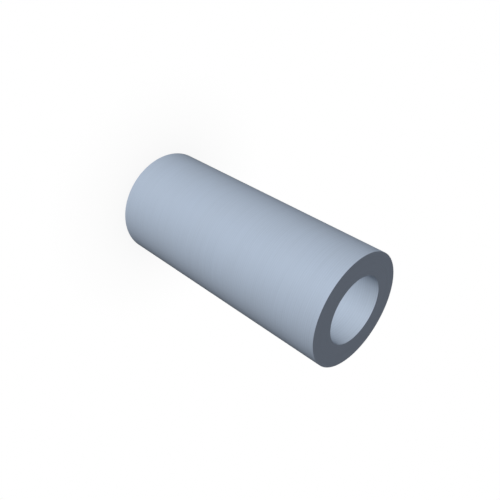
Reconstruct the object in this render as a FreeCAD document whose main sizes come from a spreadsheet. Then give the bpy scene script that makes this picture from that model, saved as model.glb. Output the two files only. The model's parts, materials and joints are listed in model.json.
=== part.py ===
import FreeCAD, Part
import os
import Sketcher

# Spacer sleeve: one plain turned tube that keeps two parts a fixed distance apart
# on a quarter inch screw: 7/16 inch outside and 1 inch long. It stands on its lower end face.
# Frame: millimetres, +Z up along the bore, origin at the centre of the lower end face.

# Driving dimensions: name, size in millimetres, what it is.
SIZES = [
    ("screw_diameter", 6.35, "nominal diameter of the screw that passes through the bore, 1/4 inch"),
    ("screw_clearance", 0.254, "how much wider the bore is than the screw, on diameter, 0.010 inch"),
    ("wall_thickness", 2.254, "wall between the bore and the outside, on radius"),
    ("sleeve_length", 25.4, "distance that the sleeve holds, end face to end face, 1 inch"),
    ("edge_break", 0.03, "leg of the 45 degree break on every turned edge"),
]
SHEET = "Sizes"
NODE = "sleeve"
FULL_TURN = 360.0
PARTS_FOLDER = "parts"


def add_sheet(doc):
    """Adds the spreadsheet that holds the driving dimensions, one row each."""
    sheet = doc.addObject("Spreadsheet::Sheet", SHEET)
    for row, (alias, size, words) in enumerate(SIZES, start=1):
        sheet.set(f"A{row}", alias)
        sheet.set(f"B{row}", str(size))
        sheet.set(f"C{row}", words)
        sheet.setAlias(f"B{row}", alias)
    doc.recompute()
    return sheet


def origin_feature(body, role):
    """Returns the body's own origin plane or axis that has this role."""
    return next(item for item in body.Origin.OriginFeatures if item.Role == role)


def drive(sketch, constraint, name, expression):
    """Adds a named dimension to the sketch and binds it to the spreadsheet."""
    index = sketch.addConstraint(constraint)
    sketch.renameConstraint(index, name)
    sketch.setExpression(f"Constraints.{name}", expression)


def add_half_section(doc, body, sheet):
    """Draws the wall on one side of the axis: bore line, outer line and both end faces."""
    sketch = body.newObject("Sketcher::SketchObject", "half_section")
    sketch.AttachmentSupport = [(origin_feature(body, "XZ_Plane"), "")]
    sketch.MapMode = "FlatFace"
    bore = (sheet.screw_diameter + sheet.screw_clearance) / 2
    outer = bore + sheet.wall_thickness
    top = sheet.sleeve_length
    corners = [(bore, 0), (outer, 0), (outer, top), (bore, top)]
    for start, end in zip(corners, corners[1:] + corners[:1]):
        line = Part.LineSegment(FreeCAD.Vector(*start, 0), FreeCAD.Vector(*end, 0))
        sketch.addGeometry(line, False)
    lower_face, outside, upper_face, bore_wall = range(4)
    origin_point = (-1, 1)
    for line in range(4):
        sketch.addConstraint(Sketcher.Constraint("Coincident", line, 2, (line + 1) % 4, 1))
    for line in (lower_face, upper_face):
        sketch.addConstraint(Sketcher.Constraint("Horizontal", line))
    for line in (outside, bore_wall):
        sketch.addConstraint(Sketcher.Constraint("Vertical", line))
    sketch.addConstraint(Sketcher.Constraint("PointOnObject", lower_face, 1, -1))
    drive(
        sketch,
        Sketcher.Constraint("DistanceX", *origin_point, lower_face, 1, bore),
        "bore_radius",
        f"({SHEET}.screw_diameter + {SHEET}.screw_clearance) / 2",
    )
    drive(
        sketch,
        Sketcher.Constraint("DistanceX", lower_face, 1, lower_face, 2, outer - bore),
        "wall",
        f"{SHEET}.wall_thickness",
    )
    drive(
        sketch,
        Sketcher.Constraint("DistanceY", outside, 1, outside, 2, top),
        "length",
        f"{SHEET}.sleeve_length",
    )
    doc.recompute()
    return sketch


def add_turned_tube(doc, body, sketch):
    """Turns the half section a full turn about the bore's axis."""
    tube = body.newObject("PartDesign::Revolution", "turned_tube")
    tube.Profile = sketch
    tube.ReferenceAxis = (sketch, ["V_Axis"])
    tube.Angle = FULL_TURN
    sketch.Visibility = False
    doc.recompute()
    return tube


def add_edge_breaks(doc, body, tube):
    """Breaks the four round edges, where the end faces meet the bore and the outside."""
    round_edges = [
        f"Edge{number}"
        for number, edge in enumerate(tube.Shape.Edges, start=1)
        if isinstance(edge.Curve, Part.Circle)
    ]
    breaks = body.newObject("PartDesign::Chamfer", "edge_breaks")
    breaks.Base = (tube, round_edges)
    breaks.setExpression("Size", f"{SHEET}.edge_break")
    doc.recompute()
    return breaks


def check(doc, bodies):
    """Stops if any object failed, or if a piece's shape isn't one valid closed solid."""
    for item in doc.Objects:
        if {"Invalid", "Error"} & set(item.State):
            raise RuntimeError(f"{item.Name} failed: {item.State}")
    for body in bodies:
        shape = body.Shape
        if shape.isNull() or not shape.isValid() or len(shape.Solids) != 1:
            raise RuntimeError(f"{body.Label} isn't one valid solid")


def export(bodies):
    """Writes each piece's shape to its own file, named after its label."""
    os.makedirs(PARTS_FOLDER, exist_ok=True)
    for body in bodies:
        body.Shape.exportStep(os.path.join(PARTS_FOLDER, f"{body.Label}.step"))
        box = body.Shape.BoundBox
        print(body.Label, "volume", round(body.Shape.Volume, 3), "mm3, box", box)


def main():
    """Builds the document, checks it and writes the part's one piece."""
    doc = FreeCAD.newDocument("SpacerSleeve")
    sheet = add_sheet(doc)
    body = doc.addObject("PartDesign::Body", NODE)
    body.Label = NODE
    sketch = add_half_section(doc, body, sheet)
    tube = add_turned_tube(doc, body, sketch)
    add_edge_breaks(doc, body, tube)
    doc.recompute()
    check(doc, [body])
    export([body])


main()
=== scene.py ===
"""Dresses the spacer sleeve: a turned steel tube, zinc plated, that stands on its lower end."""

import json
import logging
import math
from dataclasses import dataclass, replace
from enum import Enum
from typing import Union

import bpy
from mathutils import Matrix, Vector

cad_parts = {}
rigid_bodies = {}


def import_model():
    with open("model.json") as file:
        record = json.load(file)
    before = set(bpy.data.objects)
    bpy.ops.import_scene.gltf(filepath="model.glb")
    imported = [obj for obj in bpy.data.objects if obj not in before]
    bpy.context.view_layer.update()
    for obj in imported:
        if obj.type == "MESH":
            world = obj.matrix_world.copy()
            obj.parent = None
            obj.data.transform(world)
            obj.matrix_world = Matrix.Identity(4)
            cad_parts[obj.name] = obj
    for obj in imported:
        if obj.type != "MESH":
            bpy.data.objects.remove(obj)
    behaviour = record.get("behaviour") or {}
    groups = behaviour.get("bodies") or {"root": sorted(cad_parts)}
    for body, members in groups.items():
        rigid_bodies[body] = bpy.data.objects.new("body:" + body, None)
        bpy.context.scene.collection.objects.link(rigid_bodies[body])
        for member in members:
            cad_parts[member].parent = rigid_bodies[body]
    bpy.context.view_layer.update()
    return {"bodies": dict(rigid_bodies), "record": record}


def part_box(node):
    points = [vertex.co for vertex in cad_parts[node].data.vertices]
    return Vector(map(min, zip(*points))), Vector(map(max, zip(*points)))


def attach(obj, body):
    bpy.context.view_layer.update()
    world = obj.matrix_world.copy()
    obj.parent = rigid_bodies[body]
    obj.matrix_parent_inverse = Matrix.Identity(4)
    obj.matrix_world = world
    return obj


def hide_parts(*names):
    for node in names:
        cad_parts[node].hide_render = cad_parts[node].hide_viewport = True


log = logging.getLogger("spacer_sleeve")

Colour = tuple[float, float, float]
Number = Union["Signal", float]
Settings = dict[str, object]
Sockets = dict[str | int, object]

MM = 0.001
UM = 0.001 * MM
FULL_TURN = 2.0 * math.pi

# A Mix node that mixes colours keeps them behind these numbers.
MIX_FACTOR, MIX_FIRST, MIX_SECOND, MIX_RESULT = 0, 6, 7, 2

WHITE: Colour = (1.0, 1.0, 1.0)
FULL_WHITE = (*WHITE, 1.0)


def bearing(azimuth: float, elevation: float) -> Vector:
    """Points from the sleeve towards a place round it.

    Args:
        azimuth: Degrees round the axis, where 0 is the side of -Y and 90 that of +X.
        elevation: Degrees above the horizon.

    Returns:
        A vector of length one.
    """
    turn, rise = math.radians(azimuth), math.radians(elevation)
    level = math.cos(rise)
    return Vector((math.sin(turn) * level, -math.cos(turn) * level, math.sin(rise)))


class Signal:
    """A number that changes over a surface. Python's operators on it add Math nodes."""

    def __init__(self, wiring: "Wiring", socket: bpy.types.NodeSocket) -> None:
        """Keeps the tree and the socket that gives the number."""
        self.wiring = wiring
        self.socket = socket

    def __add__(self, other: Number) -> "Signal":
        """Adds."""
        return self.wiring.maths("ADD", self, other)

    def __sub__(self, other: Number) -> "Signal":
        """Takes the other away from this."""
        return self.wiring.maths("SUBTRACT", self, other)

    def __rsub__(self, other: Number) -> "Signal":
        """Takes this away from the other."""
        return self.wiring.maths("SUBTRACT", other, self)

    def __mul__(self, other: Number) -> "Signal":
        """Multiplies."""
        return self.wiring.maths("MULTIPLY", self, other)

    def __truediv__(self, other: Number) -> "Signal":
        """Divides by the other."""
        return self.wiring.maths("DIVIDE", self, other)

    def __rtruediv__(self, other: Number) -> "Signal":
        """Divides the other by this."""
        return self.wiring.maths("DIVIDE", other, self)

    __radd__ = __add__
    __rmul__ = __mul__


class Wiring:
    """Adds the nodes of one tree and links them, for a surface, a world or a shape."""

    def __init__(self, tree: bpy.types.NodeTree) -> None:
        """Takes the tree and empties it."""
        self.tree = tree
        tree.nodes.clear()

    def fill(self, socket: bpy.types.NodeSocket, value: object) -> None:
        """Fills one input of a node.

        Args:
            socket: The input.
            value: A signal or a socket to link to it, or a plain value to set on it.
        """
        source = value.socket if isinstance(value, Signal) else value
        if isinstance(source, bpy.types.NodeSocket):
            self.tree.links.new(source, socket)
        else:
            socket.default_value = source

    def node(
        self, kind: str, settings: Settings | None = None, sockets: Sockets | None = None
    ) -> bpy.types.Node:
        """Adds a node, sets it up and then fills its inputs.

        Args:
            kind: The node's type.
            settings: The node's own properties.
            sockets: A value or a link for each input, by its name or its number.

        Returns:
            The new node.
        """
        made = self.tree.nodes.new(kind)
        for name, value in (settings or {}).items():
            setattr(made, name, value)
        for key, value in (sockets or {}).items():
            self.fill(made.inputs[key], value)
        return made

    def maths(self, operation: str, *values: Number) -> Signal:
        """Works out one operation on these values, in a Math node."""
        made = self.node("ShaderNodeMath", {"operation": operation}, dict(enumerate(values)))
        return Signal(self, made.outputs[0])

    def mix(self, factor: Number, first: object, second: object) -> bpy.types.NodeSocket:
        """Mixes two colours: the first at factor 0 and the second at 1."""
        sockets = {MIX_FACTOR: factor, MIX_FIRST: first, MIX_SECOND: second}
        return self.node("ShaderNodeMix", {"data_type": "RGBA"}, sockets).outputs[MIX_RESULT]

    def noise(self, place: Signal | bpy.types.NodeSocket, step: float, detail: float) -> Signal:
        """Adds an uneven pattern.

        Args:
            place: Where on the sleeve. A single number gives bands, and a vector gives spots.
            step: About how far the bands or spots lie apart.
            detail: How many finer patterns lie on the first one.

        Returns:
            The pattern's grey value, which lies around 0.5.
        """
        banded = isinstance(place, Signal)
        settings = {"noise_dimensions": "1D" if banded else "3D"}
        sockets = {"W" if banded else "Vector": place, "Scale": 1.0 / step, "Detail": detail}
        return Signal(self, self.node("ShaderNodeTexNoise", settings, sockets).outputs["Fac"])

    def split(self, vector: bpy.types.NodeSocket) -> list[Signal]:
        """Gives a vector's x, y and z."""
        parts = self.node("ShaderNodeSeparateXYZ", {}, {0: vector}).outputs
        return [Signal(self, part) for part in parts]

    def off_axis(self, x: Signal, y: Signal) -> Signal:
        """Works out how far from the axis a place lies."""
        return self.maths("SQRT", x * x + y * y)

    def seen(self) -> Signal:
        """Tells a straight look at the surroundings from the light that they give.

        Returns:
            1 where the camera or a reflection looks straight at them, and 0 for their light.
        """
        path = self.node("ShaderNodeLightPath").outputs
        names = ("Is Camera Ray", "Is Glossy Ray", "Is Transmission Ray")
        camera, mirrored, through = (Signal(self, path[name]) for name in names)
        return self.maths("MAXIMUM", camera, self.maths("MAXIMUM", mirrored, through))


class Feed(Enum):
    """The way that the tool moved while the work turned, which is how its marks are spaced."""

    ALONG_AXIS = "along the axis"
    ACROSS_FACE = "out from the axis"


@dataclass(frozen=True)
class CutFinish:
    """How one cut surface looks once it is turned and plated.

    Attributes:
        name: The material's name.
        feed: The way that the tool moved.
        feed_mm: How far the tool moved in one turn of the work.
        groove_um: How deep the groove is that the tool left.
        streak_um: How deep the single scratches are, which the tool's edge drew round the work.
        band_mm: About how wide the bands are in which the tool cut a little differently.
        roughness: The satin of the plating, between the bands' extremes.
        tint: A colour shift that stands in for light on one face, not a colour of the plating. It
        is painted shade colour, a little more violet, on the end face, which lies in shade, and
        a little less blue in the bore, against the blue that light bounced within it adds.
    """

    name: str
    feed: Feed
    feed_mm: float
    groove_um: float
    streak_um: float
    band_mm: float
    roughness: float
    tint: Colour = WHITE

    # The plating, which is alike all over the sleeve.
    PLATING = (0.445, 0.520, 0.630)
    METALLIC = 0.08
    SPECULAR = 0.0

    # How much each kind of mark changes the plating's colour, and how it is spaced. The grooves
    # are painted shade: their bottoms are coloured darker than their crests. The scratches are
    # partly tone that varies and partly painted shade, darker where they lie deeper.
    GROOVE_PAINTED_SHADE = 0.05
    STREAK_TONE_AND_PAINTED_SHADE = 0.11
    STREAK_MM = 0.10
    STREAK_LENGTH_MM = 4.8
    STREAK_DETAIL = 2.0
    BAND_SHADE = 0.02
    BAND_SATIN = 0.05
    BAND_DETAIL = 2.0
    CLOUD_SHADE = 0.03
    CLOUD_MM = 4.0
    CLOUD_DETAIL = 3.0
    CLOUD_TINT = (0.985, 1.0, 1.02)
    GRAIN_MM = 0.10
    GRAIN_UM = 0.5
    GRAIN_DETAIL = 1.0

    def colour(self, share: float, tint: Colour = WHITE) -> tuple[float, float, float, float]:
        """Gives the plating's colour on this surface.

        Args:
            share: How pale it is, where 1 is the plating as it is.
            tint: What turns it a little towards another colour.

        Returns:
            The colour, with nothing see-through about it.
        """
        channels = zip(self.PLATING, self.tint, tint)
        red, green, blue = (plating * share * own * other for plating, own, other in channels)
        return (red, green, blue, 1.0)

    def build(self) -> bpy.types.Material:
        """Makes the material: tool grooves, scratches and bands, clouds of plating and its grain.

        Returns:
            The new material.
        """
        material = bpy.data.materials.new(self.name)
        material.use_nodes = True
        wiring = Wiring(material.node_tree)
        in_metres = wiring.node("ShaderNodeTexCoord").outputs["Object"]
        scaling = {0: in_metres, "Scale": 1.0 / MM}
        place = wiring.node("ShaderNodeVectorMath", {"operation": "SCALE"}, scaling).outputs[0]
        x, y, z = wiring.split(place)
        across = z if self.feed is Feed.ALONG_AXIS else wiring.off_axis(x, y)

        turns = across / self.feed_mm + wiring.maths("ARCTAN2", y, x) / FULL_TURN
        centred = wiring.maths("FRACT", turns) * 2.0 - 1.0
        crest = centred * centred
        length = self.STREAK_LENGTH_MM
        drawn_out = {0: across / self.STREAK_MM, 1: x / length, 2: y / length}
        drawn = wiring.node("ShaderNodeCombineXYZ", {}, drawn_out).outputs[0]
        streak = wiring.noise(drawn, 1.0, self.STREAK_DETAIL)
        band = wiring.noise(across, self.band_mm, self.BAND_DETAIL)
        cloud = wiring.noise(place, self.CLOUD_MM, self.CLOUD_DETAIL)
        grain = wiring.noise(place, self.GRAIN_MM, self.GRAIN_DETAIL)

        # Painted shade: this colour follows the relief, darker in the grooves' bottoms and the
        # deeper scratches.
        marks = crest * self.GROOVE_PAINTED_SHADE + streak * self.STREAK_TONE_AND_PAINTED_SHADE
        spread = self.GROOVE_PAINTED_SHADE + self.STREAK_TONE_AND_PAINTED_SHADE + self.BAND_SHADE + self.CLOUD_SHADE
        paleness = (marks + band * self.BAND_SHADE + cloud * self.CLOUD_SHADE) / spread
        dark, pale = 1.0 - spread / 2.0, 1.0 + spread / 2.0
        neutral = wiring.mix(paleness, self.colour(dark), self.colour(pale))
        cool_dark, cool_pale = (self.colour(share, self.CLOUD_TINT) for share in (dark, pale))
        cool = wiring.mix(paleness, cool_dark, cool_pale)
        cuts = crest * band * (self.groove_um * UM) + streak * (self.streak_um * UM)
        relief = {"Strength": 1.0, "Distance": 1.0, "Height": cuts + grain * (self.GRAIN_UM * UM)}
        bump = wiring.node("ShaderNodeBump", {}, relief)
        surface = wiring.node(
            "ShaderNodeBsdfPrincipled",
            {},
            {
                "Base Color": wiring.mix(cloud, neutral, cool),
                "Roughness": band * self.BAND_SATIN + (self.roughness - self.BAND_SATIN / 2.0),
                "Metallic": self.METALLIC,
                "Specular IOR Level": self.SPECULAR,
                "Normal": bump.outputs["Normal"],
            },
        )
        wiring.node("ShaderNodeOutputMaterial", {}, {"Surface": surface.outputs["BSDF"]})
        return material


class Cut(Enum):
    """The four kinds of cut surface on the sleeve, each with its finish."""

    OUTSIDE = CutFinish(
        name="turned_outside",
        feed=Feed.ALONG_AXIS,
        feed_mm=0.20,
        groove_um=3.2,
        streak_um=3.2,
        band_mm=0.7,
        roughness=0.60,
    )
    END = CutFinish(
        name="faced_end",
        feed=Feed.ACROSS_FACE,
        feed_mm=0.16,
        groove_um=0.4,
        streak_um=0.4,
        band_mm=0.4,
        roughness=0.60,
        # Painted shade colour: the end face lies in shade, and this tint gives it a little more
        # violet.
        tint=(1.02, 1.005, 1.02),
    )
    BORE = CutFinish(
        name="reamed_bore",
        feed=Feed.ALONG_AXIS,
        feed_mm=0.24,
        groove_um=3.2,
        streak_um=3.2,
        band_mm=1.0,
        roughness=0.60,
        # Painted light colour: this tint takes out some of the blue that light bounced in the bore
        # adds.
        tint=(1.0, 0.99, 0.97),
    )
    EDGE = CutFinish(
        name="broken_edge",
        feed=Feed.ALONG_AXIS,
        feed_mm=0.04,
        groove_um=0.2,
        streak_um=0.2,
        band_mm=0.4,
        roughness=0.55,
    )

    @property
    def input_name(self) -> str:
        """What the shape's input for this finish is called."""
        return self.name.title() + " finish"


@dataclass
class Sleeve:
    """The turned tube: its sizes, its mesh and its finishes. All sizes are in metres.

    Attributes:
        node: The frame's node that it stands for.
        body: The frame's body that it rides on.
        slot: The record's material slot. It is not used.
        outer_radius: From the axis to the outside.
        bore_radius: From the axis to the bore's wall.
        length: From end face to end face.
        edge_radius: The rounding of each broken edge.
        facets: How many flat facets stand for the full turn.
        edge_steps: How many facets stand for a broken edge.
    """

    node: str
    body: str
    slot: str
    outer_radius: float
    bore_radius: float
    length: float
    edge_radius: float
    facets: int = 256
    edge_steps: int = 4

    NAME = "turned_sleeve"
    FLAT_WITHIN = math.radians(5.0)

    @classmethod
    def from_frame(cls, record: dict, node: str, body: str) -> "Sleeve":
        """Reads the sleeve's sizes off the frame.

        Args:
            record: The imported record.
            node: The frame's node to stand for.
            body: The frame's body to ride on.

        Returns:
            The sleeve, not built yet.
        """
        low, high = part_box(node)
        bore = next(mount["dims"] for mount in record["mounts"] if mount["name"] == "bore")
        slot = next(part["material_slot"] for part in record["subparts"] if part["node"] == node)
        length = high.z - low.z
        edge = (length - bore["length_mm"] * MM) / 2.0
        return cls(node, body, slot, (high.x - low.x) / 2.0, bore["r_mm"] * MM, length, edge)

    @property
    def wall(self) -> float:
        """The wall's thickness."""
        return self.outer_radius - self.bore_radius

    @property
    def mean_radius(self) -> float:
        """From the axis to the middle of the wall."""
        return self.bore_radius + self.wall / 2.0

    def inputs(self, finishes: dict[Cut, bpy.types.Material]) -> dict[str, tuple[str, object]]:
        """Names the inputs of the shape's recipe.

        Args:
            finishes: The material of each cut surface.

        Returns:
            The type of each input's socket and its value, by its name.
        """
        sizes = {
            "Wall thickness": ("NodeSocketFloat", self.wall),
            "Mean radius": ("NodeSocketFloat", self.mean_radius),
            "Length": ("NodeSocketFloat", self.length),
            "Edge radius": ("NodeSocketFloat", self.edge_radius),
            "Facets": ("NodeSocketInt", self.facets),
            "Edge steps": ("NodeSocketInt", self.edge_steps),
        }
        return sizes | {cut.input_name: ("NodeSocketMaterial", finishes[cut]) for cut in Cut}

    def recipe(self, inputs: dict[str, tuple[str, object]]) -> bpy.types.NodeTree:
        """Builds the tree that carries the wall's section once round the axis.

        Args:
            inputs: The tree's inputs, as inputs() names them.

        Returns:
            The node tree, which needs no geometry to start from.
        """
        tree = bpy.data.node_groups.new(self.NAME, "GeometryNodeTree")
        for name, (kind, _) in inputs.items():
            tree.interface.new_socket(name=name, in_out="INPUT", socket_type=kind)
        tree.interface.new_socket(name="Sleeve", in_out="OUTPUT", socket_type="NodeSocketGeometry")
        wiring = Wiring(tree)
        given = wiring.node("NodeGroupInput").outputs
        section = wiring.node(
            "GeometryNodeCurvePrimitiveQuadrilateral",
            {"mode": "RECTANGLE"},
            {"Width": given["Wall thickness"], "Height": given["Length"]},
        )
        rounded = wiring.node(
            "GeometryNodeFilletCurve",
            {"mode": "POLY"},
            {
                "Curve": section.outputs[0],
                "Count": given["Edge steps"],
                "Radius": given["Edge radius"],
            },
        )
        round_path = wiring.node(
            "GeometryNodeCurvePrimitiveCircle",
            {"mode": "RADIUS"},
            {"Resolution": given["Facets"], "Radius": given["Mean radius"]},
        )
        swept = wiring.node(
            "GeometryNodeCurveToMesh",
            {},
            {"Curve": round_path.outputs["Curve"], "Profile Curve": rounded.outputs[0]},
        )
        half_length = Signal(wiring, given["Length"]) / 2.0
        lift = wiring.node("ShaderNodeCombineXYZ", {}, {"Z": half_length})
        stood = wiring.node(
            "GeometryNodeTransform",
            {},
            {"Geometry": swept.outputs[0], "Translation": lift.outputs[0]},
        )
        smooth = wiring.node("GeometryNodeSetShadeSmooth", {}, {"Geometry": stood.outputs[0]})
        whole = wiring.node("GeometryNodeRealizeInstances", {}, {"Geometry": smooth.outputs[0]})
        shape = whole.outputs[0]
        for cut, where in self.places(wiring, given["Mean radius"]).items():
            sockets = {"Geometry": shape, "Selection": where, "Material": given[cut.input_name]}
            shape = wiring.node("GeometryNodeSetMaterial", {}, sockets).outputs[0]
        wiring.node("NodeGroupOutput", {}, {0: shape})
        return tree

    def places(self, wiring: Wiring, mean_radius: bpy.types.NodeSocket) -> dict[Cut, object]:
        """Tells the cut surfaces apart by the way that they face.

        Args:
            wiring: The recipe's nodes.
            mean_radius: From the axis to the middle of the wall.

        Returns:
            Where each cut surface lies. A later one overrules an earlier one.
        """
        _, _, facing_z = wiring.split(wiring.node("GeometryNodeInputNormal").outputs["Normal"])
        x, y, _ = wiring.split(wiring.node("GeometryNodeInputPosition").outputs[0])
        level = wiring.maths("ABSOLUTE", facing_z)
        upright = wiring.maths("LESS_THAN", level, math.sin(self.FLAT_WITHIN))
        outer = wiring.maths("GREATER_THAN", wiring.off_axis(x, y), Signal(wiring, mean_radius))
        return {
            Cut.EDGE: True,
            Cut.END: wiring.maths("GREATER_THAN", level, math.cos(self.FLAT_WITHIN)),
            Cut.OUTSIDE: upright * outer,
            Cut.BORE: upright * (1.0 - outer),
        }

    def true_normal(self, point: Vector) -> Vector:
        """Finds which way the real surface faces, so that flats and walls look true to their rims.

        Args:
            point: A vertex, which lies on a rounded edge or where one ends.

        Returns:
            The direction from the middle of the rounding to the vertex.
        """
        away, edge = math.hypot(point.x, point.y), self.edge_radius
        middle_away = min(max(away, self.bore_radius + edge), self.outer_radius - edge)
        middle_height = min(max(point.z, edge), self.length - edge)
        outward = (away - middle_away) / away
        return Vector((point.x * outward, point.y * outward, point.z - middle_height)).normalized()

    def turn(self) -> bpy.types.Object:
        """Runs the recipe and keeps its result as a plain mesh.

        Returns:
            An object at the origin, with the mesh and its materials.
        """
        inputs = self.inputs({cut: cut.value.build() for cut in Cut})
        tree = self.recipe(inputs)
        piece = bpy.data.objects.new(self.NAME, bpy.data.meshes.new("blank"))
        bpy.context.scene.collection.objects.link(piece)
        turning = piece.modifiers.new("turning", "NODES")
        turning.node_group = tree
        for item in tree.interface.items_tree:
            if item.in_out == "INPUT":
                turning[item.identifier] = inputs[item.name][1]
        graph = bpy.context.evaluated_depsgraph_get()
        made = bpy.data.meshes.new_from_object(
            piece.evaluated_get(graph), preserve_all_data_layers=True, depsgraph=graph
        )
        piece.modifiers.clear()
        blank, piece.data = piece.data, made
        bpy.data.meshes.remove(blank)
        made.name = piece.name
        return piece

    def build(self) -> bpy.types.Object:
        """Turns the sleeve, trues its shading, lays it out for painting and sets it on its body.

        Returns:
            The sleeve's object, which rides on its body and stands for its node.
        """
        piece = self.turn()
        normals = [self.true_normal(vertex.co) for vertex in piece.data.vertices]
        piece.data.normals_split_custom_set_from_vertices(normals)
        BakeSheet(self).lay_out(piece.data)
        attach(piece, self.body)
        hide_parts(self.node)
        return piece


@dataclass
class BakeSheet:
    """The sleeve's surface laid out flat, so that a map can be painted on it without stretching.

    Both walls are unrolled with their broken edges, and both ends are rings. The outside lies at
    the bottom with the lower end beside it, and above them lies the bore, turned on its side,
    with the upper end beside it.

    Attributes:
        sleeve: The sleeve to lay out.
        gap: The space between two pieces of the sheet, in metres.
    """

    sleeve: Sleeve
    gap: float = 0.3 * MM

    MAP = "OFBake"

    @property
    def edge_arc(self) -> float:
        """How much longer a wall is, unrolled, for the rounding of one of its edges."""
        return self.sleeve.edge_radius * (math.pi / 2.0 - 1.0)

    @property
    def unrolled(self) -> float:
        """How long a wall is, unrolled, with both its edges."""
        return self.sleeve.length + 2.0 * self.edge_arc

    @property
    def side(self) -> float:
        """The sheet's width and height: both rows, with a gap under, between and over them."""
        return self.unrolled + FULL_TURN * self.sleeve.bore_radius + 3.0 * self.gap

    def run(self, height: float) -> float:
        """Gives how far up the unrolled wall a point lies, its broken edges rolled out too.

        Args:
            height: The point's height above the lower end face.

        Returns:
            Its distance from the foot of the unrolled wall.
        """
        edge, length = self.sleeve.edge_radius, self.sleeve.length
        inside = min(max(height, edge), length - edge)
        past = (height - inside) / edge
        return self.edge_arc + inside + edge * math.asin(min(max(past, -1.0), 1.0))

    def spot(self, point: Vector, middle: Vector, cut: str) -> tuple[float, float]:
        """Finds where a corner of a face lies on the sheet.

        Args:
            point: The corner.
            middle: The middle of its face, which says on which side of the seam it is.
            cut: The name of the face's finish.

        Returns:
            The place on the sheet, in metres from its lower left corner.
        """
        sleeve, gap = self.sleeve, self.gap
        second_row = 2.0 * gap + self.unrolled
        if cut == Cut.END.value.name:
            upper = middle.z > sleeve.length / 2.0
            beside = self.unrolled if upper else FULL_TURN * sleeve.outer_radius
            base = second_row if upper else gap
            across = point.x if upper else -point.x
            centre = beside + 2.0 * gap + sleeve.outer_radius
            return centre + across, base + sleeve.outer_radius + point.y
        middle_turn = math.atan2(middle.y, middle.x) % FULL_TURN
        step = (math.atan2(point.y, point.x) - middle_turn + math.pi) % FULL_TURN - math.pi
        if math.hypot(middle.x, middle.y) > sleeve.mean_radius:
            return gap + (middle_turn + step) * sleeve.outer_radius, gap + self.run(point.z)
        return gap + self.run(point.z), second_row + (middle_turn + step) * sleeve.bore_radius

    def lay_out(self, mesh: bpy.types.Mesh) -> None:
        """Gives the mesh its map.

        Args:
            mesh: The sleeve's mesh, with its materials on its faces.
        """
        layer = mesh.uv_layers.new(name=self.MAP)
        for face in mesh.polygons:
            cut = mesh.materials[face.material_index].name
            for corner in face.loop_indices:
                point = mesh.vertices[mesh.loops[corner].vertex_index].co
                along, up = self.spot(point, face.center, cut)
                layer.uv[corner].vector = (along / self.side, up / self.side)


@dataclass(frozen=True)
class Lamp:
    """A far lamp. It casts no shadow, so that the bore is as light as the outside.

    Attributes:
        name: The lamp's name.
        azimuth: Where it stands round the sleeve, in degrees.
        elevation: How high it stands, in degrees.
        strength: How bright it is.
        spread: How wide it looks from the sleeve, in degrees.
        only_fills: Whether the sleeve's sheen leaves it out and the bore doesn't pass its light on.
    """

    name: str
    azimuth: float
    elevation: float
    strength: float
    spread: float
    only_fills: bool = False

    def place(self) -> None:
        """Adds the lamp to the scene."""
        lamp = bpy.data.lights.new(self.name, "SUN")
        lamp.energy = self.strength
        lamp.angle = math.radians(self.spread)
        lamp.use_shadow = False
        lamp.cycles.max_bounces = 0 if self.only_fills else 1
        holder = bpy.data.objects.new(self.name, lamp)
        holder.visible_glossy = not self.only_fills
        direction = bearing(self.azimuth, self.elevation)
        holder.rotation_euler = direction.to_track_quat("Z", "Y").to_euler()
        bpy.context.scene.collection.objects.link(holder)
        log.info("%s: strength %.2f", self.name, self.strength)


@dataclass(frozen=True)
class PictureCamera:
    """The picture's camera, as it was measured from the sleeve's outline.

    Attributes:
        image_px: The picture's width and height.
        focal_px: The lens, in pixels of the picture.
        rise_px: How far the sleeve's middle lies above the picture's, in pixels.
        radii_away: The distance to the sleeve's middle, in outer radii.
        azimuth: Where it stands round the sleeve, in degrees.
        elevation: How high it stands, in degrees, about as in an isometric view.
        roll: How far it is turned about its own line of sight, in degrees.
        sensor: The sensor's width in millimetres.
    """

    image_px: float = 500.0
    focal_px: float = 626.1
    rise_px: float = 0.14
    radii_away: float = 10.936
    azimuth: float = 0.0
    elevation: float = 35.39
    roll: float = 120.0
    sensor: float = 36.0

    NAME = "picture_camera"
    NEAR, FAR = 1.0 * MM, 10.0

    def place(self, sleeve: Sleeve) -> None:
        """Adds the camera and makes it the scene's.

        Args:
            sleeve: What it looks at.
        """
        data = bpy.data.cameras.new(self.NAME)
        data.sensor_width = self.sensor
        data.lens = self.focal_px / self.image_px * self.sensor
        data.shift_y = -self.rise_px / self.image_px
        data.clip_start, data.clip_end = self.NEAR, self.FAR
        away = bearing(self.azimuth, self.elevation)
        roll = Matrix.Rotation(math.radians(self.roll), 3, "Z")
        turn = away.to_track_quat("Z", "Y").to_matrix() @ roll
        middle = Vector((0.0, 0.0, sleeve.length / 2.0))
        stand = middle + away * self.radii_away * sleeve.outer_radius
        camera = bpy.data.objects.new(self.NAME, data)
        camera.matrix_world = Matrix.LocRotScale(stand, turn, None)
        bpy.context.scene.collection.objects.link(camera)
        bpy.context.scene.camera = camera
        log.info("%s: lens %.2f mm", self.NAME, data.lens)


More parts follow.
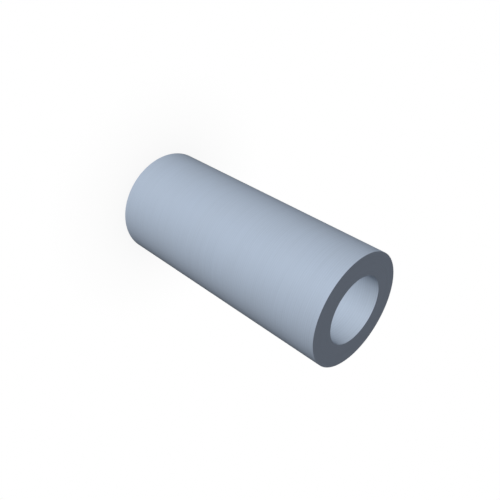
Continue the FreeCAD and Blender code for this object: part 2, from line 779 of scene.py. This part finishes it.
@dataclass(frozen=True)
class FloorFinish:
    """The floor's white, which glows by itself and is a little darker near the sleeve.

    Attributes:
        name: The material's name.
        shadow: How much of the white goes where the sleeve shuts out the whole room.
        reach: How far from the sleeve its shadow fades out.
        samples: How many looks round each place find its shadow.
    """

    name: str = "white_floor"
    shadow: float = 0.15
    reach: float = 9.5 * MM
    samples: int = 16

    def build(self) -> bpy.types.Material:
        """Makes the material, which is clear from below.

        Returns:
            The new material.
        """
        material = bpy.data.materials.new(self.name)
        material.use_nodes = True
        material.cycles.emission_sampling = "NONE"
        wiring = Wiring(material.node_tree)
        looks = {"samples": self.samples}
        room = wiring.node("ShaderNodeAmbientOcclusion", looks, {"Distance": self.reach})
        white = Signal(wiring, room.outputs["AO"]) * self.shadow + (1.0 - self.shadow)
        top = wiring.node("ShaderNodeEmission", {}, {"Color": FULL_WHITE, "Strength": white})
        clear = wiring.node("ShaderNodeBsdfTransparent")
        under = wiring.node("ShaderNodeNewGeometry").outputs["Backfacing"]
        sides = {0: under, 1: top.outputs[0], 2: clear.outputs[0]}
        both = wiring.node("ShaderNodeMixShader", {}, sides)
        wiring.node("ShaderNodeOutputMaterial", {}, {"Surface": both.outputs[0]})
        return material


@dataclass
class Studio:
    """The plain white room: its floor, its even light and its lamps.

    Attributes:
        lamps: The lamps.
        ambient: How bright the even light from all round is.
        floor_half: Half the floor's side.
        floor_drop: How far the floor lies under the sleeve, so that they don't share a plane.
        floor_finish: How the floor looks.
    """

    lamps: tuple[Lamp, ...]
    ambient: float
    floor_half: float = 0.6
    floor_drop: float = 0.01 * MM
    floor_finish: FloorFinish = FloorFinish()

    def build(self) -> None:
        """Makes the whole studio."""
        bpy.context.scene.view_settings.view_transform = "Standard"
        self.light_room()
        self.lay_floor()
        for lamp in self.lamps:
            lamp.place()

    def light_room(self) -> None:
        """Makes the world: white to look at, and a low even light for the sleeve."""
        world = bpy.data.worlds.new("white_room")
        world.use_nodes = True
        world.cycles.sampling_method = "NONE"
        wiring = Wiring(world.node_tree)
        dim = {"Color": FULL_WHITE, "Strength": self.ambient}
        light = wiring.node("ShaderNodeBackground", {}, dim)
        look = wiring.node("ShaderNodeBackground", {}, {"Color": FULL_WHITE, "Strength": 1.0})
        ways = {0: wiring.seen(), 1: light.outputs[0], 2: look.outputs[0]}
        both = wiring.node("ShaderNodeMixShader", {}, ways)
        wiring.node("ShaderNodeOutputWorld", {}, {"Surface": both.outputs[0]})
        bpy.context.scene.world = world

    def lay_floor(self) -> None:
        """Makes the floor, a plain square just under the sleeve."""
        half = self.floor_half
        square = ((-half, -half), (half, -half), (half, half), (-half, half))
        mesh = bpy.data.meshes.new("floor")
        mesh.from_pydata([(x, y, -self.floor_drop) for x, y in square], [], [(0, 1, 2, 3)])
        mesh.materials.append(self.floor_finish.build())
        floor = bpy.data.objects.new("floor", mesh)
        floor.visible_diffuse = False
        floor.visible_shadow = False
        bpy.context.scene.collection.objects.link(floor)
        log.info("floor: %.1f m square", 2.0 * half)


def main() -> None:
    """Loads the frame, dresses the sleeve, and sets up the studio and the camera."""
    logging.basicConfig(level=logging.INFO, format="%(name)s: %(message)s")
    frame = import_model()
    sleeve = Sleeve.from_frame(frame["record"], "sleeve", next(iter(frame["bodies"])))
    piece = sleeve.build()
    finishes = [material.name for material in piece.data.materials]
    log.info("%s: %d faces, finishes %s", piece.name, len(piece.data.polygons), finishes)
    key = Lamp("key_lamp", azimuth=-6.6, elevation=8.35, strength=2.96, spread=20.0)
    left = Lamp(
        "back_lamp_left", azimuth=-172.0, elevation=-8.0, strength=1.4, spread=5.0, only_fills=True
    )
    right = replace(left, name="back_lamp_right", azimuth=166.0)
    Studio((key, left, right), ambient=0.02).build()
    PictureCamera().place(sleeve)


if __name__ == "__main__":
    main()
